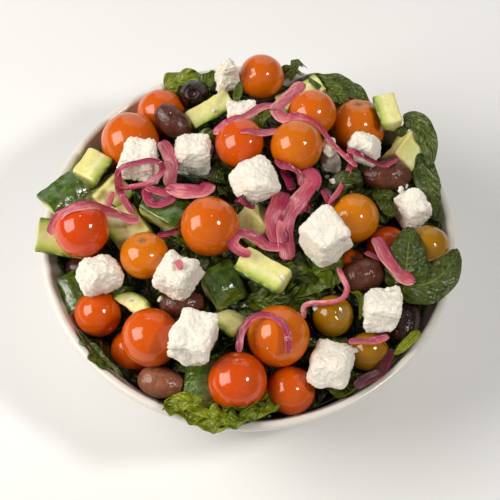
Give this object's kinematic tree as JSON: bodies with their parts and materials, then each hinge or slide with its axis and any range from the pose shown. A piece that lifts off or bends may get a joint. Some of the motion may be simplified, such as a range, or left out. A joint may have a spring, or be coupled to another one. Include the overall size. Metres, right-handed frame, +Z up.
{
  "type": "greek salad in a bowl",
  "caption": "Greek salad heaped in a wide stoneware bowl: cherry tomatoes, feta lumps, dark olives and cucumber chunks on green leaves.",
  "frame": {"origin": "on the surface that the bowl stands on, below the middle of the model's box, which lies about 1 mm from the bowl's axis", "axes": "+Z up along the bowl's axis; +Y away from the viewer of the salad's arranged side, +X to the right"},
  "size_m": [0.2023, 0.2, 0.1059],
  "materials": {
    "cream_stoneware": "glazed stoneware",
    "salad_greens": "moist leaf",
    "tomato_skin": "glossy skin",
    "feta_cheese": "crumbly matte",
    "olive_flesh": "oily skin",
    "cucumber_flesh": "moist cut flesh with green skin"
  },
  "bodies": {
    "root": {"bowl": "cream_stoneware", "salad_heap": "salad_greens", "tomato_01": "tomato_skin", "tomato_02": "tomato_skin", "tomato_03": "tomato_skin", "tomato_04": "tomato_skin", "tomato_05": "tomato_skin", "tomato_06": "tomato_skin", "tomato_07": "tomato_skin", "tomato_08": "tomato_skin", "tomato_09": "tomato_skin", "tomato_10": "tomato_skin", "tomato_11": "tomato_skin", "tomato_12": "tomato_skin", "tomato_13": "tomato_skin", "tomato_14": "tomato_skin", "tomato_15": "tomato_skin", "tomato_16": "tomato_skin", "tomato_17": "tomato_skin", "tomato_18": "tomato_skin", "tomato_19": "tomato_skin", "tomato_20": "tomato_skin", "tomato_21": "tomato_skin", "feta_01": "feta_cheese", "feta_02": "feta_cheese", "feta_03": "feta_cheese", "feta_04": "feta_cheese", "feta_05": "feta_cheese", "feta_06": "feta_cheese", "feta_07": "feta_cheese", "feta_08": "feta_cheese", "feta_09": "feta_cheese", "feta_10": "feta_cheese", "feta_11": "feta_cheese", "feta_12": "feta_cheese", "feta_13": "feta_cheese", "feta_14": "feta_cheese", "olive_01": "olive_flesh", "olive_02": "olive_flesh", "olive_03": "olive_flesh", "olive_04": "olive_flesh", "olive_05": "olive_flesh", "olive_06": "olive_flesh", "olive_07": "olive_flesh", "olive_08": "olive_flesh", "cucumber_01": "cucumber_flesh", "cucumber_02": "cucumber_flesh", "cucumber_03": "cucumber_flesh", "cucumber_04": "cucumber_flesh", "cucumber_05": "cucumber_flesh", "cucumber_06": "cucumber_flesh", "cucumber_07": "cucumber_flesh", "cucumber_08": "cucumber_flesh", "cucumber_09": "cucumber_flesh", "cucumber_10": "cucumber_flesh", "cucumber_11": "cucumber_flesh", "cucumber_12": "cucumber_flesh", "cucumber_13": "cucumber_flesh", "cucumber_14": "cucumber_flesh", "cucumber_15": "cucumber_flesh"}
  },
  "joints": []
}
